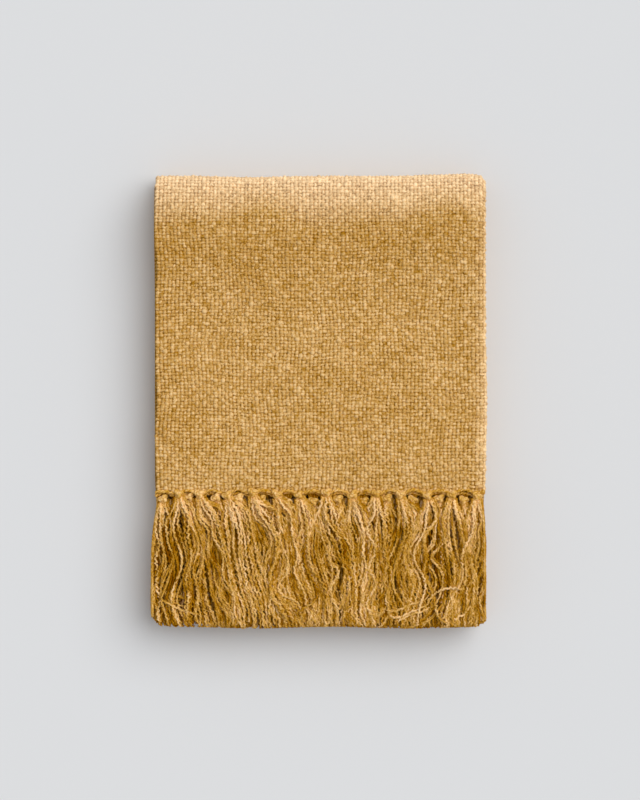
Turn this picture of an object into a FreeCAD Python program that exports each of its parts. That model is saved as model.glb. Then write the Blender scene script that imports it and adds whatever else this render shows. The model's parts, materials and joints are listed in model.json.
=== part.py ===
"""A woven throw with a knotted fringe at both ends, folded for a shelf or a chair arm.

The cloth is quartered across its width, which makes a strip of four layers. The strip is then
folded three times along its length, in a zigzag, into four panels that lie on each other. X runs
across the strip, Y along it and Z up. The origin is the middle of the footprint, on the surface
that the throw rests on. Both fringes point to -Y: the top panel's lies on the throw and the bottom
panel's lies under it. All lengths are millimetres.
"""

import os

import FreeCAD
import Part

# Driving dimensions.
WIDTH = 325.0  # the quartered strip, a quarter of a 1300 throw
LENGTH = 440.0  # the folded throw from its rear folds to its fringe tips
FRINGE = 130.0  # knots and free yarn beyond the cloth
CLOTH = 2.5  # one layer of the woven cloth
LAYER_GAP = 0.3  # air between the layers of one panel
PANEL_GAP = 0.4  # air between two panels
LAYERS = 4
PANELS = 4
SELVEDGE_SET_BACK = 2.0  # from the strip's left edge to the two woven edges
TASSELS = 13  # knotted across one layer
KNOT_LENGTH = 11.0
KNOT_WIDTH = 9.5
NECK_WIDTH = 7.0  # the yarns where they leave the knot
SKIRT_WIDTH = 20.0  # the yarns where they end
JOIN_GAP = 0.3  # air between a panel's end and the fold or the fringe next to it

# Sizes that follow from them.
PITCH = CLOTH + LAYER_GAP
PANEL = LAYERS * CLOTH + (LAYERS - 1) * LAYER_GAP
PANEL_PITCH = PANEL + PANEL_GAP
FOLD_RADIUS = PANEL_GAP / 2 + PANEL
REAR = LENGTH / 2 - FOLD_RADIUS  # the centre line of the folds at +Y
FRONT = -REAR  # the centre line of the fold at -Y
FRINGE_LINE = FRINGE - LENGTH / 2  # where the cloth ends and its knots begin
TASSEL_PITCH = (WIDTH - SKIRT_WIDTH) / (TASSELS - 0.5)  # with half a pitch between layers
ALONG_X = FreeCAD.Vector(1, 0, 0)
ALONG_Y = FreeCAD.Vector(0, 1, 0)
ALONG_Z = FreeCAD.Vector(0, 0, 1)


def panel_floor(panel):
    """The height of a panel's underside, counted from 0 at the bottom."""
    return panel * PANEL_PITCH


def fold_height(panel):
    """The height of the crease between a panel and the one above it."""
    return panel_floor(panel) + PANEL + PANEL_GAP / 2


def is_turned(panel):
    """Every second panel of the zigzag lies the other way up, the bottom one first."""
    return panel % 2 == 0


def layer_height(panel, layer):
    """The middle of a cloth layer. Layer 1 is the one with the first lengthwise crease."""
    steps = LAYERS - layer if is_turned(panel) else layer - 1
    return panel_floor(panel) + CLOTH / 2 + steps * PITCH


def strip_section(panel):
    """One panel across its width: a single cloth that goes right, left, right and left again."""
    left_radius = PITCH / 2 + CLOTH / 2
    outer_radius = 1.5 * PITCH + CLOTH / 2
    left = -WIDTH / 2 + left_radius
    right = WIDTH / 2 - outer_radius
    selvedge = -WIDTH / 2 + SELVEDGE_SET_BACK
    heights = [layer_height(panel, layer) for layer in (1, 2, 3, 4)]
    up = 1 if heights[3] > heights[0] else -1
    under = [z - up * CLOTH / 2 for z in heights]
    over = [z + up * CLOTH / 2 for z in heights]
    edges = []

    def run(x_from, x_to, z):
        a, b = FreeCAD.Vector(x_from, 0, z), FreeCAD.Vector(x_to, 0, z)
        edges.append(Part.makeLine(a, b))

    def turn(x, z_from, z_to, side):
        radius = abs(z_to - z_from) / 2
        middle = FreeCAD.Vector(x + side * radius, 0, (z_from + z_to) / 2)
        a, b = FreeCAD.Vector(x, 0, z_from), FreeCAD.Vector(x, 0, z_to)
        edges.append(Part.Arc(a, middle, b).toShape())

    def cut_edge(z_from, z_to):
        a, b = FreeCAD.Vector(selvedge, 0, z_from), FreeCAD.Vector(selvedge, 0, z_to)
        edges.append(Part.makeLine(a, b))

    run(selvedge, right, over[3])
    turn(right, over[3], under[0], 1)
    run(right, left, under[0])
    turn(left, under[0], over[1], -1)
    run(left, right, over[1])
    turn(right, over[1], under[2], 1)
    run(right, selvedge, under[2])
    cut_edge(under[2], over[2])
    run(selvedge, right, over[2])
    turn(right, over[2], under[1], 1)
    run(right, left, under[1])
    turn(left, under[1], over[0], -1)
    run(left, right, over[0])
    turn(right, over[0], under[3], 1)
    run(right, selvedge, under[3])
    cut_edge(under[3], over[3])
    return Part.Face(Part.Wire(edges))


def cloth_panel(panel):
    """A panel of four layers. The top and bottom ones stop at their fringe."""
    has_fringe = panel in (0, PANELS - 1)
    start = FRINGE_LINE if has_fringe else FRONT + JOIN_GAP
    section = strip_section(panel)
    section.translate(ALONG_Y * start)
    return section.extrude(ALONG_Y * (REAR - JOIN_GAP - start))


def cloth_fold(panel):
    """The four layers going round from a panel to the one above it."""
    at_rear = is_turned(panel)
    line = REAR if at_rear else FRONT
    section = strip_section(panel + 1)
    section.translate(ALONG_Y * line)
    axis_point = FreeCAD.Vector(0, line, fold_height(panel))
    return section.revolve(axis_point, ALONG_X, -180 if at_rear else 180)


def tassel():
    """A flattened knot and its yarns, which spread to their tips. It lies along -Y from y = 0."""
    knot_end = -KNOT_LENGTH
    tip = JOIN_GAP - FRINGE
    outline = [
        (-NECK_WIDTH / 2, knot_end / 2),
        (-NECK_WIDTH / 2, knot_end),
        (-SKIRT_WIDTH / 2, tip),
        (SKIRT_WIDTH / 2, tip),
        (NECK_WIDTH / 2, knot_end),
        (NECK_WIDTH / 2, knot_end / 2),
    ]
    corners = [FreeCAD.Vector(x, y, -CLOTH / 2) for x, y in outline]
    skirt = Part.Face(Part.makePolygon(corners + corners[:1])).extrude(ALONG_Z * CLOTH)
    base = FreeCAD.Vector(0, knot_end / 2, -CLOTH / 2)
    knot = Part.makeCylinder(KNOT_WIDTH / 2, CLOTH, base, ALONG_Z)
    lead = Part.makeBox(NECK_WIDTH, -knot_end / 2, CLOTH)
    lead.translate(FreeCAD.Vector(-NECK_WIDTH / 2, knot_end / 2, -CLOTH / 2))
    return knot.fuse(lead).fuse(skirt).removeSplitter()


def tassel_row(shape, panel, layer):
    """The tassels of one layer. Every second layer's stand half a pitch aside."""
    aside = TASSEL_PITCH / 4 * (1 if layer % 2 == 0 else -1)
    row = []
    for i in range(TASSELS):
        x = (i - (TASSELS - 1) / 2) * TASSEL_PITCH + aside
        copy = shape.copy()
        place = FreeCAD.Vector(x, FRINGE_LINE - JOIN_GAP, layer_height(panel, layer))
        copy.translate(place)
        row.append(copy)
    return row


def build():
    """Every node's name and shape."""
    nodes = {}
    for panel, place in enumerate(("bottom", "lower", "upper", "top")):
        nodes[f"panel_{place}"] = cloth_panel(panel)
    for panel, place in enumerate(("bottom", "middle", "top")):
        nodes[f"fold_{place}"] = cloth_fold(panel)
    one = tassel()
    top = PANELS - 1
    for layer, row in ((4, "front_tassel"), (3, "front_under_tassel")):
        for i, shape in enumerate(tassel_row(one, top, layer), start=1):
            nodes[f"{row}_{i:02d}"] = shape
    for layer in (2, 1):
        nodes[f"front_tassels_layer_{layer}"] = Part.makeCompound(tassel_row(one, top, layer))
    for layer in (4, 3, 2, 1):
        nodes[f"rear_tassels_layer_{layer}"] = Part.makeCompound(tassel_row(one, 0, layer))
    return nodes


os.makedirs("parts", exist_ok=True)
for name, shape in build().items():
    shape.exportStep(f"parts/{name}.step")
    box = shape.BoundBox
    sizes = f"{box.XLength:.1f} x {box.YLength:.1f} x {box.ZLength:.1f}"
    print(f"{name}: {len(shape.Solids)} solid, {sizes} mm, valid {shape.isValid()}")
print(f"fold lines: rear y {REAR:.2f}, front y {FRONT:.2f}, fringe y {FRINGE_LINE:.2f}")
print("fold heights: " + ", ".join(f"{fold_height(p):.2f}" for p in range(PANELS - 1)))
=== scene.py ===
"""A folded throw blanket: woven cloth in four panels, and a knotted fringe at both ends.

The cloth is quartered across its width, so each panel is a strip of four layers, and the strip is
folded three times along its length. A point of the cloth is named by how far it lies along the
strip's section, how far along the strip, and how far out of the cloth's middle. All lengths here
are metres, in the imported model's frame.
"""
import json
import math

import bpy
import numpy as np
from bpy.props import FloatProperty, FloatVectorProperty, IntProperty, PointerProperty
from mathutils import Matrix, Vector

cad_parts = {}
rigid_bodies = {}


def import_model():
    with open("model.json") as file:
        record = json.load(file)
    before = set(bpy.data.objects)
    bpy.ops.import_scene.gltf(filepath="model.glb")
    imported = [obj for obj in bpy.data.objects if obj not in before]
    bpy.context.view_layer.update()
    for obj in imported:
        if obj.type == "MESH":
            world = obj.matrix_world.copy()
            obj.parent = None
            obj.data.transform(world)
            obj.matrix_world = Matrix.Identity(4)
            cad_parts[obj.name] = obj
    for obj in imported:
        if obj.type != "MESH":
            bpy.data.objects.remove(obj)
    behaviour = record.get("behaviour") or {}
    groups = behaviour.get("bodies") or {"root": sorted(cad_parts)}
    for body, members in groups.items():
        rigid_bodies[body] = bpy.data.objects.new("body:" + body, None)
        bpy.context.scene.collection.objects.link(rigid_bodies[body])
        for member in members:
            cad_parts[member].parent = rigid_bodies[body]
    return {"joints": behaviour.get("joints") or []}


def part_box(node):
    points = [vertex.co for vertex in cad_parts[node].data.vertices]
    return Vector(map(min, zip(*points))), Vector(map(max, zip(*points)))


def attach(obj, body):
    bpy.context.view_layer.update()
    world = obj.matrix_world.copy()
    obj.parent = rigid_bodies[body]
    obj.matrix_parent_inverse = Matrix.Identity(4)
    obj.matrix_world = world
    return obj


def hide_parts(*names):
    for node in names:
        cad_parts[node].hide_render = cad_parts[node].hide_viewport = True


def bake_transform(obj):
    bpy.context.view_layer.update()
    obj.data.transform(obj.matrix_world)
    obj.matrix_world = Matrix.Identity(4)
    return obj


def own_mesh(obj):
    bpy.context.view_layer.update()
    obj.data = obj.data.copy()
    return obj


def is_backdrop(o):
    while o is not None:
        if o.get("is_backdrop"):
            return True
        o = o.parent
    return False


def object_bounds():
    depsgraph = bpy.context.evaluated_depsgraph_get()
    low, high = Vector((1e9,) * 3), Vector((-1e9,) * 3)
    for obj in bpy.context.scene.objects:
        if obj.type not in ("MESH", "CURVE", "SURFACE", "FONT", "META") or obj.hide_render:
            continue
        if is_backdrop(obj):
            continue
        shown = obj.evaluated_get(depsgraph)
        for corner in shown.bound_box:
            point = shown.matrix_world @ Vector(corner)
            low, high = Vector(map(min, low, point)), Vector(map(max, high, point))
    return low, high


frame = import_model()
CAD_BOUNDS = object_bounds()

bl_info = {
    "name": "Folded Throw Blanket",
    "version": (1, 0, 0),
    "blender": (4, 5, 0),
    "location": "View3D > Sidebar > Throw",
    "description": "Builds a folded woven throw with knotted tassels around its packed frame",
    "category": "Add Mesh",
}

MM = 0.001

# The cloth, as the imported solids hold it.
CLOTH = 2.5 * MM
LAYER_PITCH = 2.8 * MM
LAYERS = 4
SELVEDGE_SET_BACK = 2.0 * MM
TASSELS = 13

TOP_LOW, TOP_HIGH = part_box("panel_top")
HALF_WIDTH = TOP_HIGH.x
FRINGE_LINE = TOP_LOW.y
FRINGE_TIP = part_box("front_tassel_01")[0].y
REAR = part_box("fold_top")[0].y
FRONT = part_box("fold_middle")[1].y
CREASE = {j["name"]: j["pos_m"][2] for j in frame["joints"]}
PANEL_PITCH = CREASE["middle_fold"] - CREASE["bottom_fold"]
# Each layer goes half round the crease at its own distance, which averages half the panel's pitch.
FOLD_LENGTH = math.pi * PANEL_PITCH / 2
FIRST_LAYER = (PANEL_PITCH - (LAYERS - 1) * LAYER_PITCH) / 2
TASSEL_X = [sum(c.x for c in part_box(f"front_tassel_{i:02d}")) / 2 for i in range(1, TASSELS + 1)]
UNDER_X = [sum(c.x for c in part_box(f"front_under_tassel_{i:02d}")) / 2 for i in range(1, TASSELS + 1)]

# Panel name: the crease that its first layer lies at, whether it goes up from there, where it starts.
PANELS = {
    "bottom": ("bottom_fold", -1, FRINGE_LINE),
    "lower": ("bottom_fold", 1, FRONT),
    "upper": ("top_fold", -1, FRONT),
    "top": ("top_fold", 1, FRINGE_LINE),
}
# Fold name: its joint, the bodies below and above it, its line along the strip and the way it bulges.
FOLDS = {
    "bottom": ("bottom_fold", "bottom", "lower", REAR, 1),
    "middle": ("middle_fold", "lower", "upper", FRONT, -1),
    "top": ("top_fold", "upper", "top", REAR, 1),
}

# How the folded edges relax.
ROUNDING = 29 * MM  # where a panel starts to thin towards its fold
SLUMP = 1.12  # 1 makes the folded edge a half ellipse, and 2 a sharper one
PUFF = 0.55  # how much thicker the top panel is beside its fold
PUFF_REACH = 55 * MM
CORNER = 9 * MM
REAR_RETREAT = 2.2 * MM
NAP_SHEEN_REAR = 46 * MM  # how far the painted sheen over pale fuzz reaches in from the folded edge
# How far the painted sheen reaches in from the right edge, which faces the light.
NAP_SHEEN_SIDE = 4.5 * MM

# The fringe's lower edge, where it turns down over the front of the stack.
BRINK_BEND = 4 * MM
BRINK = FRINGE_TIP - 2.4 * MM
BRINK_CORNER = 12 * MM
# The lowest that the middle of a fringe yarn lies, over the underside of the panel that it hangs from.
YARN_CLEAR = 1.9 * MM
GROUND = {"top": CREASE["top_fold"] + YARN_CLEAR, "bottom": YARN_CLEAR}
GROUND["front_fringe"] = GROUND["top"]

# The top row of tassels turned back over the top panel: the share that its loose yarn would flatten to.
FLATTENED = 0.28
WEAVE_TOP = TOP_HIGH.z + 2.4 * MM

# The weave. A closed core sheet fills it from behind.
WARP_PITCH = 3.76 * MM
WEFT_PITCH = 3.21 * MM
CORE_HALF = 0.85 * MM
WOVEN_SIDES, WOVEN_FLATNESS = 5, 0.66
FOLD_ROWS = 10  # wefts round a fold

# The fringe's yarns. Loose ones on top are laid in fine steps, and those of the hidden layers in coarse.
LOOSE_SIDES = 4
FINE_STEP = 1.45 * MM
COARSE_STEP = 3.2 * MM
LONGEST = 150 * MM
LENGTHS = (124, 142)  # millimetres from the knot to a yarn's end
FAN = 14.5 * MM  # half the width that a tassel opens to
FAN_REACH = 24 * MM
LOCKS = 5
ANY_PHASE = 6.3  # a full turn, for a wave that may start anywhere

SEEDS = {"weave": 7, "edge_cords": 55, "front": 101, "under": 202, "inner": 900}


# ---- where the cloth lies

RIGHT_TURN = HALF_WIDTH - 1.5 * LAYER_PITCH - CLOTH / 2
LEFT_TURN = -HALF_WIDTH + LAYER_PITCH / 2 + CLOTH / 2
LEFT_EDGE = -HALF_WIDTH + SELVEDGE_SET_BACK
HEIGHTS = [FIRST_LAYER + k * LAYER_PITCH for k in range(LAYERS)]
RUN_OUTER = RIGHT_TURN - LEFT_EDGE
RUN_INNER = RIGHT_TURN - LEFT_TURN
# The section's stretches, from the woven edge of layer 4: a run or a turn and its length.
STRETCHES = (
    ("run", RUN_OUTER, LEFT_EDGE, 1, HEIGHTS[3]),
    ("turn", math.pi * 1.5 * LAYER_PITCH, RIGHT_TURN, 1, (HEIGHTS[3], HEIGHTS[0])),
    ("run", RUN_INNER, RIGHT_TURN, -1, HEIGHTS[0]),
    ("turn", math.pi * 0.5 * LAYER_PITCH, LEFT_TURN, -1, (HEIGHTS[0], HEIGHTS[1])),
    ("run", RUN_INNER, LEFT_TURN, 1, HEIGHTS[1]),
    ("turn", math.pi * 0.5 * LAYER_PITCH, RIGHT_TURN, 1, (HEIGHTS[1], HEIGHTS[2])),
    ("run", RUN_OUTER, RIGHT_TURN, -1, HEIGHTS[2]),
)
STRIP = sum(part[1] for part in STRETCHES)


def section(s):
    """x, height over the crease and the outward normal at a distance s along the strip's section."""
    s = np.clip(s, 0, STRIP)
    x, h, nx, nh = (np.zeros_like(s) for _ in range(4))
    start = 0.0
    for kind, length, x0, way, height in STRETCHES:
        here = (s >= start) & (s <= start + length)
        t = s[here] - start
        if kind == "run":
            x[here] = x0 + way * t
            h[here] = height
            nh[here] = way
        else:
            low_to_high = 1 if height[1] > height[0] else -1
            radius = abs(height[1] - height[0]) / 2
            angle = t / radius
            x[here] = x0 + way * radius * np.sin(angle)
            h[here] = sum(height) / 2 - low_to_high * radius * np.cos(angle)
            turn = -way * low_to_high
            nx[here] = turn * way * np.sin(angle)
            nh[here] = -turn * low_to_high * np.cos(angle)
        start += length
    return x, h, nx, nh


def smooth(t):
    t = np.clip(t, 0, 1)
    return t * t * (3 - 2 * t)


def unit(vectors):
    return vectors / (np.linalg.norm(vectors, axis=-1)[..., None] + 1e-15)


def thinned(h, d):
    """Height over a crease, d into the stretch that thins towards its fold. Outer layers thin most."""
    reach = ROUNDING + PANEL_PITCH
    share = (1 - (np.clip(d, 0, ROUNDING) / reach) ** 2) ** (SLUMP / 2)
    return h - (1 - share) * h * np.abs(h) / PANEL_PITCH


def rear_line(x):
    """How far the folded edge strays from a straight line, with its rounded corners."""
    sway = -REAR_RETREAT - 1.3 * MM * np.exp(-(((x + 68 * MM) / (34 * MM)) ** 2))
    sway = sway + 1.5 * MM * np.exp(-(((x - 138 * MM) / (40 * MM)) ** 2))
    for side, radius in ((1, CORNER), (-1, 0.5 * CORNER)):
        into = np.clip(side * x - (HALF_WIDTH - radius), 0, radius)
        sway = sway - (radius - np.sqrt(radius**2 - into**2 + 1e-12))
    return sway


def side_line(x, y):
    """How far the long edges stray sideways, which fades towards the middle of the strip."""
    right = 1.4 * MM * np.exp(-(((y + 5 * MM) / (55 * MM)) ** 2)) - 1.0 * MM
    left = -1.0 * MM * np.exp(-(((y - 175 * MM) / (45 * MM)) ** 2)) + 0.8 * MM
    left = left - 1.8 * MM * smooth((-130 * MM - y) / (60 * MM))
    under = smooth((FRINGE_LINE + 20 * MM - y) / (60 * MM))
    left, right = left + 2.6 * MM * under, right - 2.0 * MM * under
    edge = np.clip(np.abs(x) / HALF_WIDTH, 0, 1.2) ** 3
    return np.where(x > 0, right, left) * edge


def nap(x, y, z):
    """Painted sheen over pale fuzz: how much the cloth is paled along its folded rear edge and along its right edge,
    which faces the light, and more on the top layers than below.
    """
    reach = NAP_SHEEN_REAR * (1 + 0.16 * np.sin(x * 34 + 0.8) + 0.10 * np.sin(x * 71 + 2.0))
    rear = np.clip(1 - (REAR + PANEL_PITCH - REAR_RETREAT - y) / reach, 0, 1) ** 0.9
    side = 0.8 * np.exp(-np.clip(HALF_WIDTH - x, 0, None) / NAP_SHEEN_SIDE)
    high = smooth((z - CREASE["top_fold"] + 6 * MM) / (8 * MM))
    return np.clip(np.maximum(rear, side), 0, 1) * (0.35 + 0.65 * high)


def painted_shade_tone(x, y):
    """Painted shade: darker in the dip behind the folded edge, which faces away from the light, and along the left
    edge, away from the light.
    """
    dip = np.exp(-(((y - (REAR - 63 * MM)) / (32 * MM)) ** 2))
    left = np.exp(-np.clip(x + HALF_WIDTH, 0, None) / (9 * MM))
    return -0.07 * dip - 0.06 * left


def relief(x, y):
    """The top's slow ups and downs, as a share of the panel's height."""
    waves = (
        np.sin(x * 31 + y * 17 + 0.6) * 0.5
        + np.sin(x * 58 - y * 43 + 2.1) * 0.32
        + np.sin(x * 91 + y * 84 + 4.0) * 0.2
        + np.sin(y * 120 - x * 37) * 0.14
    )
    return 0.085 * waves


def scallop(x, y):
    """The cloth's end is drawn towards the knots and bows back between them."""
    step = TASSEL_X[1] - TASSEL_X[0]
    fade = np.exp(-np.clip(y - FRINGE_LINE, 0, None) / (7 * MM))
    return -1.7 * MM * np.cos((x - TASSEL_X[0]) / step * 2 * math.pi) * fade


def panel_middle(panel, s, y):
    """The place of a point of a panel's cloth, in the middle of its thickness."""
    crease, up, start = PANELS[panel]
    x, h, _, _ = section(s)
    if panel == "top":
        beside = np.exp(-(((y - (REAR - ROUNDING)) / PUFF_REACH) ** 2))
        rim = 0.12 * np.exp(-(((HALF_WIDTH - np.abs(x)) / (9 * MM)) ** 2))
        h = h * (1 + PUFF * beside + relief(x, y) - rim)
    h = thinned(h, y - (REAR - ROUNDING))
    if start == FRONT:
        h = PANEL_PITCH - thinned(PANEL_PITCH - h, (FRONT + ROUNDING) - y)
    z = CREASE[crease] + up * h
    bend = rear_line(x) * smooth((y - REAR + 70 * MM) / (70 * MM))
    if start == FRINGE_LINE:
        bend = bend + scallop(x, y)
    else:
        bend = bend - 0.6 * rear_line(x) * smooth((FRONT + 70 * MM - y) / (70 * MM))
    return np.stack([x + side_line(x, y), y + bend, z], -1)


def fold_middle(fold, s, t):
    """The place of a point of a fold's cloth. t runs from 1 at the panel above to -1 below."""
    crease, _, _, line, way = FOLDS[fold]
    x, h, _, _ = section(s)
    puffed = 1 + PUFF * math.exp(-((ROUNDING / PUFF_REACH) ** 2)) if fold == "top" else 1.0
    if fold == "middle":
        h = PANEL_PITCH - h
    lead = ROUNDING * np.clip(h / PANEL_PITCH, 0, 1)
    reach = lead + h
    first = np.arcsin(np.clip(lead / reach, 0, 1))
    angle = math.pi / 2 - np.abs(t) * (math.pi / 2 - first)
    grown = 1 + (puffed - 1) * smooth(t * 0.5 + 0.5)
    fall = (np.clip(np.cos(angle), 0, 1) / np.cos(first)) ** SLUMP
    z = thinned(h * grown, ROUNDING) * fall * np.sign(t + 1e-9)
    y = line + way * (reach * np.sin(angle) - lead)
    bend = rear_line(x) if way > 0 else -0.6 * rear_line(x)
    return np.stack([x + side_line(x, y), y + bend, CREASE[crease] + z], -1)


def stood_out(middle, s, r, out, reach, way):
    """A point of the cloth, moved out of its middle along the normal there."""
    before, after = np.clip(s - 0.2 * MM, 0, STRIP), np.clip(s + 0.2 * MM, 0, STRIP)
    across = middle(after, r) - middle(before, r)
    along = middle(s, r + reach) - middle(s, r - reach)
    normal = way * unit(np.cross(across, along))
    return middle(s, r) + normal * np.broadcast_to(out, np.shape(s))[..., None]


def on_panel(panel, s, y, out):
    return stood_out(lambda a, b: panel_middle(panel, a, b), s, y, out, 0.3 * MM, PANELS[panel][1])


def on_fold(fold, s, t, out):
    return stood_out(lambda a, b: fold_middle(fold, a, b), s, t, out, 0.02, -1)


# ---- meshes


def mesh_object(name, points, faces, material, uv=None):
    """A piece at the origin with smooth faces."""
    mesh = bpy.data.meshes.new(name)
    mesh.from_pydata(points.tolist(), [], faces)
    mesh.polygons.foreach_set("use_smooth", [True] * len(mesh.polygons))
    if uv is not None:
        corner = np.zeros(len(mesh.loops), np.int32)
        mesh.loops.foreach_get("vertex_index", corner)
        mesh.uv_layers.new(name="threads").uv.foreach_set("vector", uv[corner].ravel())
    mesh.materials.append(material)
    piece = bpy.data.objects.new(name, mesh)
    bpy.context.scene.collection.objects.link(piece)
    return piece


def shell(name, place, columns, rows, along, material, half=CLOTH / 2):
    """A closed sheet over a grid of section distances and rows, with its UV map in threads."""
    s, r = np.meshgrid(columns, rows)
    outer, inner = place(s, r, half), place(s, r, -half)
    high, wide = s.shape
    points = np.concatenate([outer.reshape(-1, 3), inner.reshape(-1, 3)])
    count = high * wide
    index = np.arange(count).reshape(high, wide)
    a, b, c, d = index[:-1, :-1], index[:-1, 1:], index[1:, 1:], index[1:, :-1]
    face = np.stack([a, b, c, d], -1).reshape(-1, 4)
    back = face[:, ::-1] + count
    rims = []
    for line in (index[0], index[-1][::-1], index[:, -1], index[:, 0][::-1]):
        rims.append(np.stack([line[1:], line[:-1], line[:-1] + count, line[1:] + count], -1))
    faces = np.concatenate([face, back, *rims])
    uv = np.stack([s / WARP_PITCH, np.broadcast_to(along[:, None], s.shape) / WEFT_PITCH], -1)
    uv = np.concatenate([uv.reshape(-1, 2)] * 2)
    piece = mesh_object(name, points, faces.tolist(), material, uv)
    # Painted sheen over pale fuzz along the folded edges, which the material adds to the colour.
    nap_sheen = nap(*points.T).astype(np.float32)
    piece.data.attributes.new("nap", "FLOAT", "POINT").data.foreach_set("value", nap_sheen)
    outwards(piece)
    return piece


def places_of(mesh):
    points = np.zeros(len(mesh.vertices) * 3)
    mesh.vertices.foreach_get("co", points)
    return points.reshape(-1, 3)


def outwards(piece):
    """Turns every face outwards if the closed mesh is inside out."""
    mesh = piece.data
    points = places_of(mesh)
    mesh.calc_loop_triangles()
    corners = np.zeros(len(mesh.loop_triangles) * 3, np.int32)
    mesh.loop_triangles.foreach_get("vertices", corners)
    a, b, c = (points[corners.reshape(-1, 3)[:, k]] for k in range(3))
    if (a * np.cross(b, c)).sum() < 0:
        mesh.flip_normals()


class Strands:
    """Polylines that become yarns: each has its girth, its shade (tone, with painted shade and highlight), its
    painted sheen over pale fuzz, its length, and where its side faces.
    """

    def __init__(self):
        self.points, self.edges = [], []
        self.girth, self.shade, self.nap, self.along, self.side = [], [], [], [], []
        self.count = 0

    def add(self, path, girth, shade=0.0, nap_sheen=0.0, side=(1.0, 0.0, 0.0)):
        n = len(path)
        steps = np.linalg.norm(np.diff(path, axis=0), axis=1)
        self.points.append(path)
        first = self.count + np.arange(n - 1)
        self.edges.append(np.stack([first, first + 1], -1))
        self.girth.append(np.broadcast_to(girth, n))
        self.shade.append(np.broadcast_to(shade, n))
        self.nap.append(np.broadcast_to(nap_sheen, n))
        self.along.append(np.concatenate([[0.0], np.cumsum(steps)]))
        self.side.append(np.broadcast_to(side, (n, 3)))
        self.count += n


class Tree:
    """Adds nodes to a node tree: a type, its settings first, then the values or links of its sockets."""

    def __init__(self, tree):
        self.tree = tree

    def feed(self, node, **sockets):
        """Sets or links a node's sockets, each given by its label or as _0, _1 and so on."""
        for key, value in sockets.items():
            label = key.replace("_", " ")
            socket = node.inputs[int(key[1:])] if key[1:].isdigit() else node.inputs[label]
            if isinstance(value, Wire):
                value = value.socket
            if isinstance(value, bpy.types.NodeSocket):
                self.tree.links.new(value, socket)
            else:
                socket.default_value = value

    def node(self, kind, settings=None, **sockets):
        made = self.tree.nodes.new(kind)
        for key, value in (settings or {}).items():
            setattr(made, key, value)
        self.feed(made, **sockets)
        return made

    def wire(self, kind, settings=None, output=0, **sockets):
        return Wire(self, self.node(kind, settings, **sockets).outputs[output])


class Wire:
    """A socket that Python's operators work on. Each operation adds a Math node."""

    def __init__(self, tree, socket):
        self.tree, self.socket = tree, socket

    def maths(self, operation, *values, clamp=False):
        given = {f"_{i}": value for i, value in enumerate((self, *values))}
        settings = {"operation": operation, "use_clamp": clamp}
        return self.tree.wire("ShaderNodeMath", settings, **given)

    def __add__(self, other):
        return self.maths("ADD", other)

    __radd__ = __add__

    def __mul__(self, other):
        return self.maths("MULTIPLY", other)

    __rmul__ = __mul__

    def __sub__(self, other):
        return self.maths("SUBTRACT", other)

    def __rsub__(self, other):
        return (self * -1.0) + other

    def __pow__(self, other):
        return self.maths("POWER", other)


def yarn_tree():
    """Geometry nodes that give every polyline a round or flattened yarn."""
    tree = bpy.data.node_groups.new("Yarn", "GeometryNodeTree")
    face = tree.interface
    inputs = {"Geometry": "Geometry", "Sides": "Int", "Flatness": "Float", "Loose": "Float"}
    for label, kind in {**inputs, "Yarn": "Material"}.items():
        face.new_socket(label, in_out="INPUT", socket_type=f"NodeSocket{kind}")
    face.new_socket("Geometry", in_out="OUTPUT", socket_type="NodeSocketGeometry")
    t = Tree(tree)
    given = t.node("NodeGroupInput").outputs
    curve = t.wire("GeometryNodeMeshToCurve", Mesh=given["Geometry"])
    # A woven yarn stays flat in the cloth. Left to itself, its profile would roll on to its edge.
    vector = {"data_type": "FLOAT_VECTOR"}
    side = t.wire("GeometryNodeInputNamedAttribute", vector, Name="side")
    woven = 1.0 - Wire(t, given["Loose"])
    laid = {"mode": "FREE"}
    curve = t.wire("GeometryNodeSetCurveNormal", laid, Curve=curve, Selection=woven, Normal=side)
    circle = t.wire("GeometryNodeCurvePrimitiveCircle", Resolution=given["Sides"], Radius=1.0)
    place = t.wire("GeometryNodeInputPosition")
    points = {"domain": "POINT", **vector}
    circle = t.wire("GeometryNodeStoreNamedAttribute", points, Geometry=circle, Name="ring", Value=place)
    scale = t.wire("ShaderNodeCombineXYZ", X=1.0, Y=given["Flatness"], Z=1.0)
    profile = t.wire("GeometryNodeTransform", Geometry=circle, Scale=scale)
    girth = t.wire("GeometryNodeInputNamedAttribute", {"data_type": "FLOAT"}, Name="girth")
    tube = t.wire(
        "GeometryNodeCurveToMesh", Curve=curve, Profile_Curve=profile, Scale=girth, Fill_Caps=True
    )
    # The crown: how far a woven yarn's profile faces out of the cloth, or how far a loose yarn's side faces up or
    # down at rest. The materials paint crowns paler, a painted highlight, and flanks darker, painted shade.
    ring = t.wire("GeometryNodeInputNamedAttribute", vector, Name="ring")
    outer = Wire(t, t.node("ShaderNodeSeparateXYZ", Vector=ring).outputs["Y"]) * -1.0
    normal = t.wire("GeometryNodeInputNormal")
    upper = Wire(t, t.node("ShaderNodeSeparateXYZ", Vector=normal).outputs["Z"]).maths("ABSOLUTE")
    crown = t.wire("ShaderNodeMix", None, 0, _0=given["Loose"], _2=outer, _3=upper)
    points = {"data_type": "FLOAT", "domain": "POINT"}
    tube = t.wire("GeometryNodeStoreNamedAttribute", points, Geometry=tube, Name="crown", Value=crown)
    tube = t.wire("GeometryNodeSetShadeSmooth", Geometry=tube)
    tube = t.wire("GeometryNodeRealizeInstances", Geometry=tube)
    tube = t.wire("GeometryNodeSetMaterial", Geometry=tube, Material=given["Yarn"])
    t.node("NodeGroupOutput", Geometry=tube)
    return tree


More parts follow.
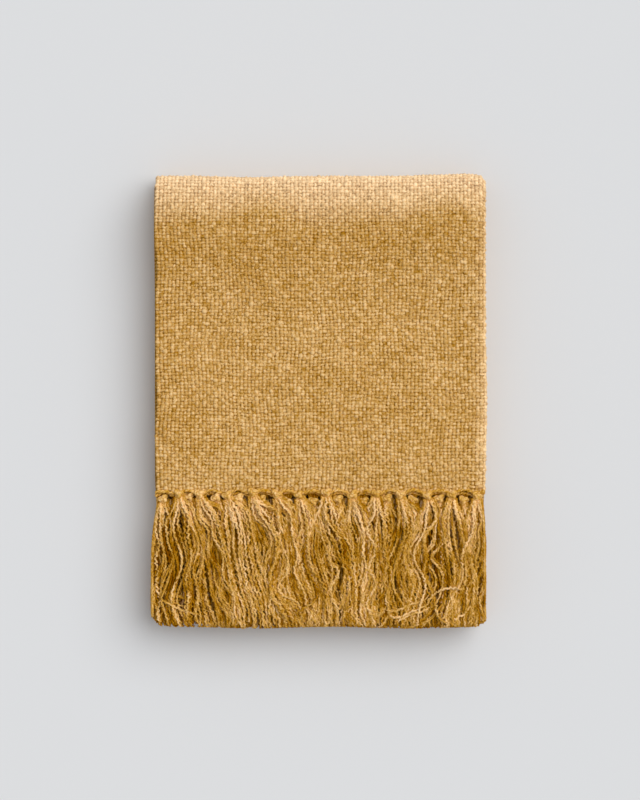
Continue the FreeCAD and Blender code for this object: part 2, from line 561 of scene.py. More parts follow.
def yarns(name, strands, material, sides=6, flatness=1.0):
    """One piece with a yarn along each polyline. A flattened yarn is woven, and a round one is loose."""
    tree = bpy.data.node_groups.get("Yarn") or yarn_tree()
    mesh = bpy.data.meshes.new(name)
    points, edges = np.concatenate(strands.points), np.concatenate(strands.edges)
    mesh.vertices.add(len(points))
    mesh.vertices.foreach_set("co", points.ravel())
    mesh.edges.add(len(edges))
    mesh.edges.foreach_set("vertices", edges.ravel())
    for label in ("girth", "shade", "nap", "along"):
        values = np.concatenate(getattr(strands, label)).astype(np.float32)
        mesh.attributes.new(label, "FLOAT", "POINT").data.foreach_set("value", values)
    sides_face = np.concatenate(strands.side).astype(np.float32).ravel()
    mesh.attributes.new("side", "FLOAT_VECTOR", "POINT").data.foreach_set("vector", sides_face)
    piece = bpy.data.objects.new(name, mesh)
    bpy.context.scene.collection.objects.link(piece)
    modifier = piece.modifiers.new("Yarn", "NODES")
    modifier.node_group = tree
    loose = 1.0 if flatness == 1.0 else 0.0
    values = {"Sides": sides, "Flatness": flatness, "Loose": loose, "Yarn": material}
    for item in tree.interface.items_tree:
        if item.in_out == "INPUT" and item.name in values:
            modifier[item.identifier] = values[item.name]
    evaluated = piece.evaluated_get(bpy.context.evaluated_depsgraph_get())
    result = bpy.data.meshes.new_from_object(evaluated)
    piece.modifiers.clear()
    piece.data = result
    result.name = name
    bpy.data.meshes.remove(mesh)
    return piece


# ---- materials


def principled(name):
    """A new material: its tree helper and its shader node."""
    material = bpy.data.materials.new(name)
    material.use_nodes = True
    tree = Tree(material.node_tree)
    shader = material.node_tree.nodes["Principled BSDF"]
    return material, tree, shader


def with_nap_sheen(tree, nap_sheen, colour, share=1.0):
    """Painted sheen: a pale fuzz colour added over a colour along the folded edges, as a highlight."""
    pale = bpy.context.scene.throw_look.nap_colour
    settings = {"data_type": "RGBA", "blend_type": "ADD"}
    return tree.wire("ShaderNodeMix", settings, 2, _0=nap_sheen * share, _6=colour, _7=(*pale, 1))


def stored(tree, name, output=2):
    """A value, or with output 1 a vector, that the mesh carries."""
    settings = {"attribute_type": "GEOMETRY", "attribute_name": name}
    return tree.wire("ShaderNodeAttribute", settings, output)


def noise(tree, vector, scale, detail=3.0, rough=0.6):
    return tree.wire(
        "ShaderNodeTexNoise", None, 0, Vector=vector, Scale=scale, Detail=detail, Roughness=rough
    )


def dye_and_painted_light(tree, level, deep=(1, 1, 1), high=(1, 1, 1)):
    """The cotton's colour from painted shade deep in a hollow, 0, to a painted highlight on the top of a yarn, 1,
    each end with its tint.
    """
    look = bpy.context.scene.throw_look
    tones = (look.hollow_colour, look.shaded_colour, look.body_colour, look.crown_colour)
    made = tree.node("ShaderNodeValToRGB", Fac=level)
    stops = made.color_ramp.elements
    while len(stops) < len(tones):
        stops.new(0.5)
    for i, tone in enumerate(tones):
        share = i / (len(tones) - 1)
        stops[i].position = share
        tints = [a + (b - a) * share for a, b in zip(deep, high)]
        stops[i].color = (*(a * b for a, b in zip(tone, tints)), 1)
    return Wire(tree, made.outputs[0])


def cotton_finish(tree, shader, colour, height, depth, strength, sheen=0.03):
    """Matt cotton: no gloss, a little sheen from its fibres, and relief from a height."""
    bump = tree.wire("ShaderNodeBump", None, 0, Strength=strength, Distance=depth, Height=height)
    tree.feed(shader, Base_Color=colour, Normal=bump, Roughness=1.0, Specular_IOR_Level=sheen)
    tree.feed(shader, Sheen_Weight=sheen, Sheen_Roughness=0.4, Sheen_Tint=(1.0, 0.7, 0.3, 1.0))


def yarn_material(name, twist, base, blotch, sheen, deep=(1, 1, 1), high=(1, 1, 1)):
    """Twisted cotton yarn: a painted highlight on the crowns, painted shade on the flanks and in the grooves between
    the plies, painted sheen along the folded edges, and uneven dye.
    """
    material, t, shader = principled(name)
    along, shade, nap_sheen, crown = (stored(t, name) for name in ("along", "shade", "nap", "crown"))
    split = t.node("ShaderNodeSeparateXYZ", Vector=stored(t, "ring", 1))
    x, y = Wire(t, split.outputs[0]), Wire(t, split.outputs[1])
    double_cos, double_sin = x * x - y * y, 2.0 * x * y
    turn = along * twist
    groove = double_cos * turn.maths("COSINE") + double_sin * turn.maths("SINE")
    ply = (groove * 0.5 + 0.5).maths("POWER", 0.6)
    place = t.wire("ShaderNodeTexCoord", None, 3)
    fibre = noise(t, place, 1100.0, 2.0, 0.6)
    slub = noise(t, place, 240.0, 2.0)
    dye = noise(t, place, 30.0, 2.0)
    level = crown * 0.34 + ply * 0.16 + (fibre - 0.5) * 0.9 + (slub - 0.5) * 2 * blotch
    level = level + (dye - 0.5) * blotch + shade + base
    colour = with_nap_sheen(t, nap_sheen, dye_and_painted_light(t, level, deep, high))
    height = ply * 0.5 + fibre * 0.8
    cotton_finish(t, shader, colour, height, 0.0005, 0.6, sheen)
    return material


def cloth_material(name):
    """Plain weave drawn in the threads' own UV map: warp over weft in every second square."""
    material, t, shader = principled(name)
    threads = t.wire("ShaderNodeUVMap", {"uv_map": "threads"})
    wander = t.wire(
        "ShaderNodeTexNoise", None, 1, Vector=threads, Scale=0.23, Detail=2.0, Roughness=0.5
    )
    centred = t.wire("ShaderNodeVectorMath", {"operation": "SUBTRACT"}, _0=wander, _1=(0.5, 0.5, 0.5))
    shift = t.wire("ShaderNodeVectorMath", {"operation": "SCALE"}, _0=centred, Scale=0.7)
    moved = t.wire("ShaderNodeVectorMath", {"operation": "ADD"}, _0=threads, _1=shift)
    split = t.node("ShaderNodeSeparateXYZ", Vector=moved)
    u, v = Wire(t, split.outputs[0]), Wire(t, split.outputs[1])
    odd = (u.maths("FLOOR") + v.maths("FLOOR")).maths("PINGPONG", 1.0)
    du = (u.maths("FRACT") - 0.5).maths("ABSOLUTE") * 2.0
    dv = (v.maths("FRACT") - 0.5).maths("ABSOLUTE") * 2.0
    across_warp, across_weft = 1.0 - du**3.0, 1.0 - dv**3.0
    warp = across_warp * (1.0 - dv * dv * 0.6)
    weft = across_weft * (1.0 - du * du * 0.6)
    height = odd * warp + (1.0 - odd) * weft
    place = t.wire("ShaderNodeTexCoord", None, 3)
    fibre = noise(t, place, 1100.0, 2.0, 0.6)
    slub = noise(t, moved, 0.9)
    dye = noise(t, place, 30.0, 2.0)
    # Painted shade and highlight: the colour is paler where the weave stands high and darker in its hollows, and the
    # folded edges get painted sheen.
    level = height * 0.75 + (fibre - 0.5) * 0.8 + (slub - 0.5) * 0.6 + (dye - 0.5) * 0.3 + 0.05
    colour = with_nap_sheen(t, stored(t, "nap"), dye_and_painted_light(t, level), 0.8)
    cotton_finish(t, shader, colour, height + fibre * 0.3, 0.0014, 0.9)
    return material


def floor_material(colour):
    """Pale matt paper with a faint tooth."""
    material, t, shader = principled("studio_floor")
    place = t.wire("ShaderNodeTexCoord", None, 3)
    tooth = noise(t, place, 400.0)
    bump = t.wire("ShaderNodeBump", None, 0, Strength=0.03, Distance=0.0004, Height=tooth)
    t.feed(shader, Base_Color=(*colour, 1), Normal=bump, Roughness=0.95, Specular_IOR_Level=0.1)
    return material


def made(name):
    """A material by name, made on first use from the current settings."""
    found = bpy.data.materials.get(name)
    if found:
        return found
    if name == "woven_cloth":
        return cloth_material(name)
    if name == "woven_yarn":
        return yarn_material(name, twist=1500.0, base=0.225, blotch=0.24, sheen=0.03)
    # The loose yarn's painted shade in its hollows is more saturated and its painted highlights paler.
    deep, high = (1.2, 1.2, 0.22), (1.16, 1.16, 1.2)
    return yarn_material(name, twist=1100.0, base=0.15, blotch=0.40, sheen=0.0, deep=deep, high=high)


# ---- settings


def tint(name, description, default):
    return FloatVectorProperty(
        name=name, description=description, subtype="COLOR", size=3, default=default, min=0, max=1
    )


def thickness(name, description, default):
    return FloatProperty(
        name=name, description=description, default=default, unit="LENGTH", precision=5
    )


class ThrowLook(bpy.types.PropertyGroup):
    """Colours of the cotton, from painted shade in its hollows and on its flanks to a painted highlight on its
    crowns, the painted sheen of its folded edges, and the stage.
    """

    # Hollows, flanks and crowns are one cotton painted darker or paler for how light falls on it: painted shade and
    # painted highlight.
    hollow_colour: tint("Hollows", "Cotton deep between the yarns", (0.235, 0.078, 0.0))
    shaded_colour: tint("Flanks", "Cotton on the sides of the yarns", (0.47, 0.218, 0.010))
    body_colour: tint("Body", "Most of the cotton", (0.69, 0.405, 0.122))
    crown_colour: tint("Crowns", "Cotton where the yarns stand proud", (0.97, 0.66, 0.31))
    # The colour added as painted sheen over the pale fuzz along the folded edges.
    nap_colour: tint("Raised nap", "Fuzz along the handled edges", (0.33, 0.315, 0.29))
    floor_colour: tint("Floor", "The surface under the throw", (0.80, 0.81, 0.825))
    key_strength: FloatProperty(
        name="Key light", description="Strength of the soft light", default=1.85, min=0
    )
    key_spread: FloatProperty(
        name="Key spread", description="Angle that the soft light fills",
        default=math.radians(58), min=0.1, unit="ROTATION",
    )
    sky: FloatProperty(name="Sky", description="Even light from all round", default=0.44, min=0)


class ThrowYarn(bpy.types.PropertyGroup):
    """Sizes of the woven and the fringe yarns."""

    warp_girth: thickness("Warp", "Half width of a woven warp yarn", 1.98 * MM)
    weft_girth: thickness("Weft", "Half width of a woven weft yarn", 1.66 * MM)
    crimp: thickness("Crimp", "How far a yarn rises over the one that it crosses", 0.75 * MM)
    ply_girth: thickness("Fringe ply", "Radius of one ply of a fringe yarn", 0.74 * MM)
    per_tassel: IntProperty(
        name="Yarns", description="Yarns in one tassel", default=20, min=2, max=30
    )


# ---- operators


class THROW_OT_stage(bpy.types.Operator):
    """Floor, soft light and the camera looking straight down"""

    bl_idname = "throw.stage"
    bl_label = "Stage"

    def execute(self, context):
        look = context.scene.throw_look
        corners = np.array([(-5, -5, 0), (5, -5, 0), (5, 5, 0), (-5, 5, 0)], float)
        mesh_object("studio_floor", corners, [(0, 1, 2, 3)], floor_material(look.floor_colour))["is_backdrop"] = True
        world = bpy.data.worlds.new("studio")
        world.use_nodes = True
        background = world.node_tree.nodes["Background"]
        background.inputs["Color"].default_value = (0.985, 0.99, 1.0, 1)
        background.inputs["Strength"].default_value = look.sky
        context.scene.world = world
        lamp = bpy.data.lights.new("soft_key", "SUN")
        lamp.energy, lamp.angle = look.key_strength, look.key_spread
        lamp.color = (1.0, 0.998, 0.99)
        key = bpy.data.objects.new("soft_key", lamp)
        towards = Vector((26, 19, 41)).normalized()
        key.location = towards * 3.0
        key.rotation_euler = towards.to_track_quat("Z", "Y").to_euler()
        context.scene.collection.objects.link(key)
        lens = bpy.data.cameras.new("camera")
        height, seen = 3.0, 0.781
        lens.sensor_width = 36.0
        lens.lens = lens.sensor_width * (height - 0.04) / seen
        lens.clip_end = 20.0
        camera = bpy.data.objects.new("camera", lens)
        camera.location = (0.0, -0.001, height)
        context.scene.collection.objects.link(camera)
        context.scene.camera = camera
        context.scene.view_settings.view_transform = "Standard"
        return {"FINISHED"}


def joined(piece, fold):
    """Bakes a fold's piece where it lies; it stays apart from the panels below and above it."""
    joint, below, above, line, _ = FOLDS[fold]
    reach = Vector((0, 0, PANEL_PITCH * 0.45))
    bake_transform(piece)


def rows_between(low, high, step):
    return np.linspace(low, high, max(2, int(round((high - low) / step)) + 1))


def section_columns(step):
    """Section distances close together on the turns and even on the runs."""
    columns, start = [], 0.0
    for kind, length, *_ in STRETCHES:
        count = max(8, int(length / step)) if kind == "run" else 8
        columns.append(np.linspace(start, start + length, count, endpoint=False))
        start += length
    return np.concatenate([*columns, [start]])


class THROW_OT_cloth(bpy.types.Operator):
    """The four panels of cloth and the three folds that join them"""

    bl_idname = "throw.cloth"
    bl_label = "Cloth"

    def execute(self, context):
        cloth = made("woven_cloth")
        columns = section_columns(9 * MM)
        for panel, (_, _, start) in PANELS.items():
            rows = rows_between(start, REAR, 5 * MM)
            half = CORE_HALF if panel == "top" else CLOTH / 2
            piece = shell(
                f"cloth_{panel}", lambda s, r, o, p=panel: on_panel(p, s, r, o), columns, rows,
                rows - FRINGE_LINE, cloth, half,
            )
            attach(piece, panel)
            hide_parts(f"panel_{panel}")
        turns = np.linspace(1, -1, 21)
        distance = (1 - turns) / 2 * 32 * MM
        for fold in FOLDS:
            piece = shell(
                f"roll_{fold}", lambda s, r, o, f=fold: on_fold(f, s, r, o), columns, turns,
                distance + REAR - FRINGE_LINE, cloth, CORE_HALF,
            )
            joined(piece, fold)
            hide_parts(f"fold_{fold}")
        return {"FINISHED"}


def slubs(rng, count, spread=0.12, run=5):
    """Smooth random thickness along a yarn, about 1."""
    rough = rng.normal(0, 1, count // run + 4)
    at = np.linspace(0, len(rough) - 1, count)
    return 1 + spread * np.interp(at, np.arange(len(rough)), rough).clip(-1.8, 1.8)


def drift(s, y):
    """How far the threads wander from straight, across and along, in slow waves."""
    calm = smooth((REAR - 8 * MM - y) / (45 * MM)) * smooth((RUN_OUTER - s) / (30 * MM))
    across = np.sin(s * 24 + y * 52 + 1.0) * 0.9 + np.sin(y * 96 - s * 41 + 2.0) * 0.5
    along = np.sin(s * 38 - y * 15 + 0.4) * 1.0 + np.sin(s * 88 + y * 31 + 3.0) * 0.45
    low = smooth((y - FRINGE_LINE) / (12 * MM))
    return across * calm * MM, along * calm * low * MM


def lumps(rng, count, chance=0.012):
    """Soft thick places where the spinning left a lump, as a share of the girth."""
    at = np.arange(count)
    grown = np.zeros(count)
    for centre in np.flatnonzero(rng.random(count) < chance):
        grown = np.maximum(grown, rng.uniform(0.25, 0.6) * np.exp(-(((at - centre) / 1.6) ** 2)))
    return grown


def woven_yarn(strands, rng, path, girth, rise, side):
    """One yarn of the cloth: a painted highlight where it rises over the others and on its lumps, painted shade
    where it dips, in the dip behind the folded edge and along the left, and painted sheen along the folded edges.
    """
    n = len(rise)
    lump = lumps(rng, n)
    thick = girth * (slubs(rng, n, 0.22, 2) + lump) * rng.normal(1, 0.03)
    tone = 0.015 * rng.normal() + 0.13 * rng.normal(size=n) + 0.20 * rise + 0.22 * lump
    x, y, z = path[:, 0], path[:, 1], path[:, 2]
    strands.add(path, thick, tone + painted_shade_tone(x, y), nap(x, y, z), side)


def weave(place, warp_at, weft_at, parity, yarn, rng, out=0.30 * MM):
    """Warp and weft strands over a stretch of cloth. weft_at are row numbers, warp_at column numbers."""
    warps, wefts = Strands(), Strands()
    rows = np.arange(2 * len(weft_at) + 1) / 2 + weft_at[0] - 0.5
    columns = np.arange(2 * len(warp_at) + 1) / 2 + warp_at[0] - 0.5
    for i in warp_at:
        over = np.cos(np.pi * (rows + i + parity)) * (np.abs(np.cos(np.pi * rows)) > 0.5)
        height = out + yarn.crimp * over * (1 + 0.5 * rng.normal(size=len(rows)))
        side = (i + 0.5) * WARP_PITCH + 0.05 * MM * (slubs(rng, len(rows), 1.0, 7) - 1)
        side = side + 0.22 * MM * rng.normal(size=len(rows))
        facing = unit(place(side + 0.3 * MM, rows, out) - place(side - 0.3 * MM, rows, out))
        woven_yarn(warps, rng, place(side, rows, height), yarn.warp_girth, over, facing)
    for j in weft_at:
        over = -np.cos(np.pi * (columns + j + parity)) * (np.abs(np.cos(np.pi * columns)) > 0.5)
        height = out + yarn.crimp * over * (1 + 0.5 * rng.normal(size=len(columns)))
        side = j + 0.06 * (slubs(rng, len(columns), 1.0, 7) - 1)
        side = side + 0.08 * rng.normal(size=len(columns))
        at = (columns + 0.5) * WARP_PITCH
        facing = unit(place(at, side - 0.1, out) - place(at, side + 0.1, out))
        woven_yarn(wefts, rng, place(at, side, height), yarn.weft_girth, over, facing)
    return warps, wefts


class THROW_OT_weave(bpy.types.Operator):
    """The woven yarns of the top panel's face and of the folds"""

    bl_idname = "throw.weave"
    bl_label = "Weave"

    def execute(self, context):
        yarn = context.scene.throw_yarn
        cotton = made("woven_yarn")
        rng = np.random.default_rng(SEEDS["weave"])
        rows = int(round((REAR - FRINGE_LINE) / WEFT_PITCH))
        step = (REAR - FRINGE_LINE) / rows
        warp_at = np.arange(int((RUN_OUTER + STRETCHES[1][1]) / WARP_PITCH))

        def top(s, row, out):
            y = FRINGE_LINE + (row + 0.5) * step
            across, along = drift(s, y)
            return on_panel("top", s + across, y + along, out)

        warps, wefts = weave(top, warp_at, np.arange(rows), 0, yarn, rng)
        for name, strands in (("top_warp", warps), ("top_weft", wefts)):
            piece = yarns(name, strands, cotton, WOVEN_SIDES, WOVEN_FLATNESS)
            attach(piece, "top")
        for fold in FOLDS:

            def bent(s, row, out, f=fold):
                return on_fold(f, s, 1 - 2 * (row + 0.5) / FOLD_ROWS, out)

            strands = weave(bent, warp_at, np.arange(FOLD_ROWS), rows % 2, yarn, rng)
            for label, part in zip(("warp", "weft"), strands):
                piece = yarns(f"roll_{fold}_{label}", part, cotton, WOVEN_SIDES, WOVEN_FLATNESS)
                joined(piece, fold)
        return {"FINISHED"}


def slow_wave(rng, d, height, shortest, longest):
    """A yarn's slow sway, in millimetres of height and of length."""
    size = rng.normal(0, height) * MM
    length = rng.uniform(shortest, longest) * MM
    return size * np.sin(2 * np.pi * d / length + rng.uniform(0, ANY_PHASE))


def crinkle(rng, d, wave, depth, phase):
    """A relaxed yarn's small side-to-side crimp."""
    swing = np.sin(2 * np.pi * d / wave + phase)
    swing = swing + 0.5 * np.sin(2 * np.pi * d / (wave * rng.uniform(0.5, 0.65)) + rng.uniform(0, ANY_PHASE))
    return depth * swing * smooth(d / (8 * MM)) * slubs(rng, len(d), 0.4, 9)


def plied(path, girth, turn, phase, spread=0.95):
    """Two plies that wind round a path."""
    tangent = np.gradient(path, axis=0)
    tangent /= np.linalg.norm(tangent, axis=1)[:, None]
    side = np.cross(tangent, (0, 0, 1.0))
    side /= np.linalg.norm(side, axis=1)[:, None]
    over = np.cross(side, tangent)
    steps = np.linalg.norm(np.diff(path, axis=0), axis=1)
    angle = phase + 2 * np.pi * np.concatenate([[0], np.cumsum(steps)]) / turn
    for half in (0, np.pi):
        a = (angle + half)[:, None]
        yield path + girth * spread * (np.cos(a) * side + np.sin(a) * over)


def add_knot(strands, rng, x, y, z, thick):
    """An overhand knot: a trefoil of two yarns side by side, pulled into a lump."""
    t = np.linspace(0, 2 * np.pi, 34)
    spin = rng.uniform(-0.6, 0.6)
    wide, tall = rng.uniform(1.35, 1.7) * MM, rng.uniform(1.15, 1.4) * MM
    for grow in (1.0, 0.55):
        a = grow * wide * (np.sin(t) + 2 * np.sin(2 * t))
        b = grow * tall * (np.cos(t) - 2 * np.cos(2 * t))
        c = -1.3 * MM * np.sin(3 * t) + (1 - grow) * 2.2 * MM
        path = np.stack(
            [x + a * np.cos(spin) - b * np.sin(spin), y + a * np.sin(spin) + b * np.cos(spin), z + c],
            -1,
        )
        strands.add(path, thick * rng.uniform(0.9, 1.1), 0.22 + 0.05 * rng.normal())


def add_head(strands, rng, x, z, knot, lift, thick, fine, tone, ground):
    """The warp ends drawn in to a knot, the knot, and the yarns packed behind it."""
    knot_x, knot_y = knot
    for m in range(6):
        off = m / 5 - 0.5
        a = (x + off * 13 * MM, FRINGE_LINE + 2 * MM, max(z - 0.6 * MM, ground))
        b = (knot_x + off * 7 * MM, knot_y + 2.6 * MM, max(z, ground))
        c = (knot_x + off * 4 * MM, knot_y, lift)
        strands.add(np.array([a, b, c]), 1.3 * thick, 1.6 * tone + 0.1 * rng.normal())
    if fine:
        add_knot(strands, rng, knot_x, knot_y, lift + 1.3 * MM, 2.0 * thick)
    # The packed yarns behind the knot are darker: painted shade.
    core = np.array([(knot_x, knot_y + d * MM, lift) for d in (3.2, 2, 0, -2, -3.5)])
    packed = np.minimum(np.array([1.2, 2.2, 2.8, 2.4, 1.2]) * MM, lift - ground + 0.9 * YARN_CLEAR)
    strands.add(core, packed, -0.2)


def new_lock(rng, d):
    """What the yarns of a lock share: its sway, crimp, curl and where, its shade, and how proud it lies."""
    sway = slow_wave(rng, d, 2.1, 34, 70)
    curl = rng.choice((-1, 1)) * rng.uniform(0.5, 1.15) * (rng.random() < 0.10)
    crimp = rng.uniform(4.4, 6.4) * MM, rng.uniform(0, ANY_PHASE), rng.uniform(0.45, 0.95) * MM
    return sway, crimp, curl, rng.uniform(88, 108) * MM, 0.11 * rng.normal(), rng.uniform(0, 1.6) * MM


def brink_line(x):
    """Where the fringe turns down, with its rounded corners."""
    corner = np.clip(np.abs(x) - (HALF_WIDTH + 0.5 * MM - BRINK_CORNER), 0, 0.98 * BRINK_CORNER)
    sway = 0.8 * MM * np.sin(x * 41 + 1.1)
    return BRINK + sway + BRINK_CORNER - np.sqrt(BRINK_CORNER**2 - corner**2)


def kept_in(x, y):
    """Draws points in to the throw's long edges, which are a little narrower beside the knots."""
    wide = smooth((FRINGE_LINE - y) / (60 * MM))
    low, high = -HALF_WIDTH + (5.6 - 6.2 * wide) * MM, HALF_WIDTH - (4.4 - 1.8 * wide) * MM
    x = np.where(x < low, low + 0.12 * (x - low), x)
    return np.where(x > high, high + 0.12 * (x - high), x)


def add_tassel(strands, rng, x, z, yarn, lower, fine, lean, tone, ground):
    """One tassel of the fringe: its head, and locks of yarn that hang from it over the front."""
    knot_x = x + rng.normal(0, 1.3) * MM
    knot_y = FRINGE_LINE - (3.4 + lower) * MM + rng.normal(0, 1.2) * MM
    lift = max(z + (1.4 if fine else 0.0) * MM, ground)
    thick = yarn.ply_girth
    add_head(strands, rng, x, z, (knot_x, knot_y), lift, thick, fine, tone, ground)
    count = yarn.per_tassel if fine else int(0.8 * yarn.per_tassel)
    step = FINE_STEP if fine else COARSE_STEP
    n = int(LONGEST / step)
    d = np.arange(n) * step
    swing = 2 * np.pi * d / (rng.uniform(70, 130) * MM) + rng.uniform(0, ANY_PHASE)
    heading = lean * (1 - 0.45 * smooth(d / (110 * MM))) + rng.normal(0, 0.2) * np.sin(swing)
    narrow = (4.8 if fine else 11) * MM
    opening = narrow + (FAN - narrow) * smooth(d / FAN_REACH)
    edge_side = np.sign(x) * smooth((abs(x) - 130 * MM) / (15 * MM))
    drop = min(BRINK_BEND, lift - ground)
    locks = [new_lock(rng, d) for _ in range(LOCKS)]
    for m in range(count):
        u = 2 * (m + 0.5) / count - 1 + rng.normal(0, 0.08)
        v = rng.random()
        sway, (wave, phase, depth), curl, curl_at, dye, proud = locks[m * LOCKS // count]
        slow = slow_wave(rng, d, 0.6, 22, 45)
        side = u * opening * rng.uniform(0.88, 1.12) + rng.normal(0, 0.04) * d
        side = side + (sway + slow) * smooth(d / (25 * MM))
        side = side + crinkle(rng, d, wave * rng.uniform(0.97, 1.03), depth, phase + rng.normal(0, 0.5))
        own = heading * (1 - 0.9 * max(0.0, u * edge_side))
        bent = curl if fine else 0.0
        if fine and rng.random() < 0.04:
            bent = rng.choice((-1, 1)) * rng.uniform(0.4, 1.1)
        turning = smooth((d - curl_at - rng.normal(0, 3) * MM) / (13 * MM))
        own = own + bent * turning
        px = knot_x + np.cumsum(np.sin(own)) * step + side * np.cos(own)
        py = knot_y - 1.2 * MM - np.cumsum(np.cos(own)) * step + side * np.sin(own)
        px = kept_in(px, py)
        brink = brink_line(px)
        hang = min(rng.uniform(3, 10) * MM, drop * 1.6) if rng.random() < 0.95 else -rng.uniform(0, 3) * MM
        stop = np.flatnonzero(py < brink - hang)
        keep = max(12, min(stop[0] if len(stop) else n, int(rng.uniform(*LENGTHS) * MM / step)))
        px, py, brink, far, turning = px[:keep], py[:keep], brink[:keep], d[:keep], turning[:keep]
        mound = max(0.0, 1 - u * u) * (1 - 0.55 * smooth((far - 20 * MM) / (90 * MM)))
        level = v * (1.0 + 3.6 * mound)
        bob = crinkle(rng, far, rng.uniform(7, 12) * MM, 0.4 * MM, rng.uniform(0, ANY_PHASE))
        pz = lift + (level * MM + proud if fine else 0) * smooth(far / (9 * MM)) + bob
        pz = pz + 2.0 * MM * turning * (bent != 0)
        pz = pz - 2.5 * MM * smooth((FRINGE_TIP + 26 * MM - py) / (34 * MM)) ** 1.5
        over = np.clip(brink + BRINK_BEND - py, 0, None)
        turned = np.clip(over / BRINK_BEND, 0, math.pi / 2)
        fallen = drop * (1 - np.cos(turned)) + np.clip(over - BRINK_BEND * math.pi / 2, 0, None)
        py = np.where(over > 0, brink + BRINK_BEND * (1 - np.sin(turned)), py)
        pz = np.maximum(pz - fallen, ground)
        k = len(px)
        fade = 1 - 0.35 * smooth((np.arange(k) - k + 6) / 6)
        # Painted highlight over the mound below the knot and where a yarn curls up on top, and painted shade the
        # lower a yarn lies in the pile. The yarn is also paler towards its end, and each lock has its own dye.
        shine = 0.24 * np.exp(-(((far - 12 * MM) / (18 * MM)) ** 2)) * mound
        shine = shine + 0.12 * smooth((far - 55 * MM) / (60 * MM)) + 0.16 * turning * (bent != 0)
        shade = tone + dye * smooth(far / (15 * MM)) + 0.07 * rng.normal() + 0.11 * (level - 1.7) + shine
        shade = shade + 0.15 * (slubs(rng, k, 1.0, 7) - 1)
        path = np.stack([px, py, pz], -1)
        if fine:
            for ply in plied(path, thick, rng.uniform(5.2, 7.2) * MM, rng.uniform(0, 6)):
                strands.add(ply, thick * slubs(rng, k, 0.16) * fade, shade)
        else:
            strands.add(path, 1.9 * thick * slubs(rng, k, 0.12) * fade, shade)


def row_lean(rng, x):
    """How a tassel leans: those left of the middle lean inwards, and the others hang as they fell."""
    left = 0.26 * smooth((x + HALF_WIDTH - 12 * MM) / (30 * MM)) * smooth((40 * MM - x) / (120 * MM))
    return left - 0.08 * smooth((x - 90 * MM) / (70 * MM)) + rng.normal(0, 0.08)


def add_edge_cord(strands, rng, height, back):
    """The heading yarn that locks the last weft, drawn down to each knot."""
    x = np.linspace(-HALF_WIDTH + 2 * MM, HALF_WIDTH - 2 * MM, 300)
    y = FRINGE_LINE + back + scallop(x, FRINGE_LINE) * 0.9 + 0.5 * MM * (slubs(rng, len(x), 1.0, 9) - 1)
    z = height + 0.5 * MM * (slubs(rng, len(x), 1.0, 8) - 1)
    for ply in plied(np.stack([x, y, z], -1), 1.05 * MM, 8.5 * MM, 0.4, 0.8):
        strands.add(ply, 1.05 * MM * slubs(rng, len(x), 0.2), 0.06 + 0.1 * rng.normal(size=len(x)))


class THROW_OT_edge_cords(bpy.types.Operator):
    """The heading yarns along the cloth's end, over the knots"""

    bl_idname = "throw.edge_cords"
    bl_label = "Edge cords"

    def execute(self, context):
        strands = Strands()
        rng = np.random.default_rng(SEEDS["edge_cords"])
        top = CREASE["top_fold"]
        add_edge_cord(strands, rng, top + HEIGHTS[3] + 1.3 * MM, -0.6 * MM)
        add_edge_cord(strands, rng, top + HEIGHTS[2] + 0.8 * MM, -2.8 * MM)
        piece = yarns("edge_cords", strands, made("loose_yarn"), 6)
        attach(piece, "top")
        return {"FINISHED"}


def flatten(piece):
    """Gives a tassel its own copy of its mesh. The height that its loose yarn would flatten to, as the fringe turns
    back over the top panel, is worked out but not applied.
    """
    highest = places_of(piece.data)[:, 2].max()
    allowed = 2 * CREASE["fringe_turn"] - WEAVE_TOP
    level = (allowed - FLATTENED * highest) / (1 - FLATTENED)
    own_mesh(piece)


class THROW_OT_front_tassels(bpy.types.Operator):
    """The two rows of tassels that show on top, one piece for each tassel"""

    bl_idname = "throw.front_tassels"
    bl_label = "Front tassels"

    def execute(self, context):
        yarn = context.scene.throw_yarn
        cotton = made("loose_yarn")
        # The last value of a row is its tone: the under row lies under the front row and is darker, painted shade.
        rows = (
            ("front_tassel", "tassel", TASSEL_X, "front_fringe", 0.0, "front", 0.0),
            ("front_under_tassel", "under_tassel", UNDER_X, "top", 5.0, "under", -0.12),
        )
        for node, name, places, body, lower, seed, tone in rows:
            for i, x in enumerate(places, start=1):
                rng = np.random.default_rng(SEEDS[seed] + i)
                low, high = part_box(f"{node}_{i:02d}")
                strands = Strands()
                z, lean = (low.z + high.z) / 2, row_lean(rng, x)
                add_tassel(strands, rng, x, z, yarn, lower, True, lean, tone, GROUND[body])
                piece = yarns(f"{name}_{i:02d}", strands, cotton, LOOSE_SIDES)
                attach(piece, body)
                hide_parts(f"{node}_{i:02d}")
                if body == "front_fringe":
                    flatten(piece)
        return {"FINISHED"}


class THROW_OT_inner_tassels(bpy.types.Operator):
    """The tassels of the layers underneath, one piece for each layer"""

    bl_idname = "throw.inner_tassels"
    bl_label = "Inner tassels"

    def execute(self, context):
        yarn = context.scene.throw_yarn
        cotton = made("loose_yarn")
        rows = [("front", "top", k) for k in (2, 1)] + [("rear", "bottom", k) for k in (4, 3, 2, 1)]
        for seed, (end, body, layer) in enumerate(rows):
            node = f"{end}_tassels_layer_{layer}"
            rng = np.random.default_rng(SEEDS["inner"] + seed)
            low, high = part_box(node)
            places = TASSEL_X if layer % 2 == 0 else UNDER_X
            strands = Strands()
            for x in places:
                lean = row_lean(rng, x)
                z = (low.z + high.z) / 2
                # The hidden rows are a little darker, -0.05: painted shade.
                add_tassel(strands, rng, x, z, yarn, 1.0, False, lean, -0.05, GROUND[body])
            piece = yarns(f"hidden_row_{end}_{layer}", strands, cotton, LOOSE_SIDES)
            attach(piece, body)
            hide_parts(node)
        return {"FINISHED"}


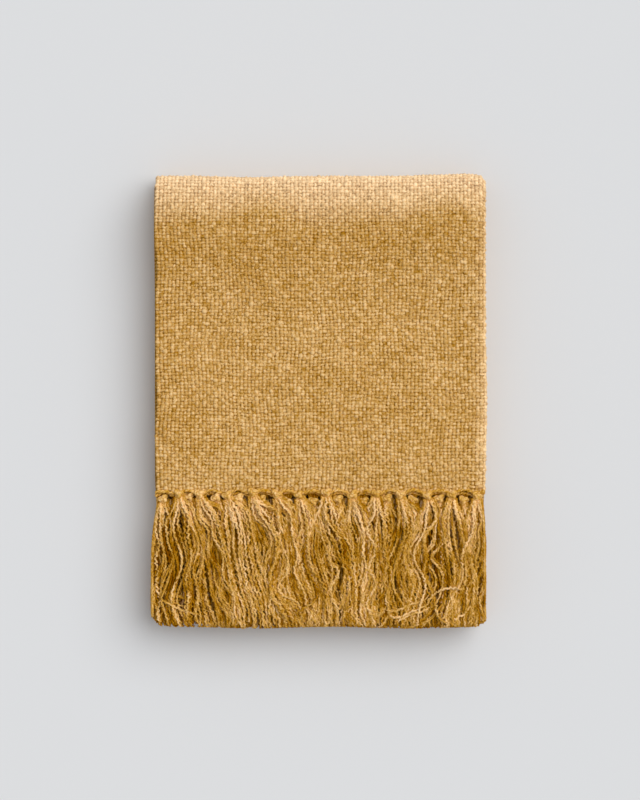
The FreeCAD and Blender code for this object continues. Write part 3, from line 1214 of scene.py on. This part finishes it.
class THROW_PT_throw(bpy.types.Panel):
    """The throw's pieces in the 3D view's sidebar"""

    bl_idname = "THROW_PT_throw"
    bl_label = "Folded Throw"
    bl_space_type = "VIEW_3D"
    bl_region_type = "UI"
    bl_category = "Throw"

    def draw(self, context):
        for operator in OPERATORS:
            self.layout.operator(operator.bl_idname)
        for group in (context.scene.throw_look, context.scene.throw_yarn):
            for name in group.__annotations__:
                self.layout.prop(group, name)


OPERATORS = (
    THROW_OT_stage,
    THROW_OT_cloth,
    THROW_OT_weave,
    THROW_OT_edge_cords,
    THROW_OT_front_tassels,
    THROW_OT_inner_tassels,
)
CLASSES = (ThrowLook, ThrowYarn, *OPERATORS, THROW_PT_throw)


def register():
    for each in CLASSES:
        bpy.utils.register_class(each)
    bpy.types.Scene.throw_look = PointerProperty(type=ThrowLook)
    bpy.types.Scene.throw_yarn = PointerProperty(type=ThrowYarn)


def unregister():
    del bpy.types.Scene.throw_yarn
    del bpy.types.Scene.throw_look
    for each in reversed(CLASSES):
        bpy.utils.unregister_class(each)


def declare_cloth():
    """Gathers the pieces that go with each sheet, the panels' trimmings and the folds' yarns, and does nothing more
    with them. The four panels and the folds are one cloth.
    """
    shown = bpy.data.objects
    trimmings = {
        "cloth_top": ["top_warp", "top_weft", "edge_cords"]
        + [f"tassel_{i:02d}" for i in range(1, TASSELS + 1)]
        + [f"under_tassel_{i:02d}" for i in range(1, TASSELS + 1)]
        + [f"hidden_row_front_{k}" for k in (2, 1)],
        "cloth_bottom": [f"hidden_row_rear_{k}" for k in (4, 3, 2, 1)],
    }
    for panel, (_, _, start) in PANELS.items():
        name = f"cloth_{panel}"
        beside = [shown[each] for each in trimmings.get(name, ())]
    for fold in FOLDS:
        beside = [shown[f"roll_{fold}_{label}"] for label in ("warp", "weft")]


def main():
    register()
    bpy.ops.throw.stage()
    bpy.ops.throw.cloth()
    bpy.ops.throw.weave()
    bpy.ops.throw.edge_cords()
    bpy.ops.throw.front_tassels()
    bpy.ops.throw.inner_tassels()
    declare_cloth()
    sizes = {"cad": CAD_BOUNDS, "visual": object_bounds()}
    {k: [list(corner) for corner in box] for k, box in sizes.items()}


if __name__ == "__main__":
    main()
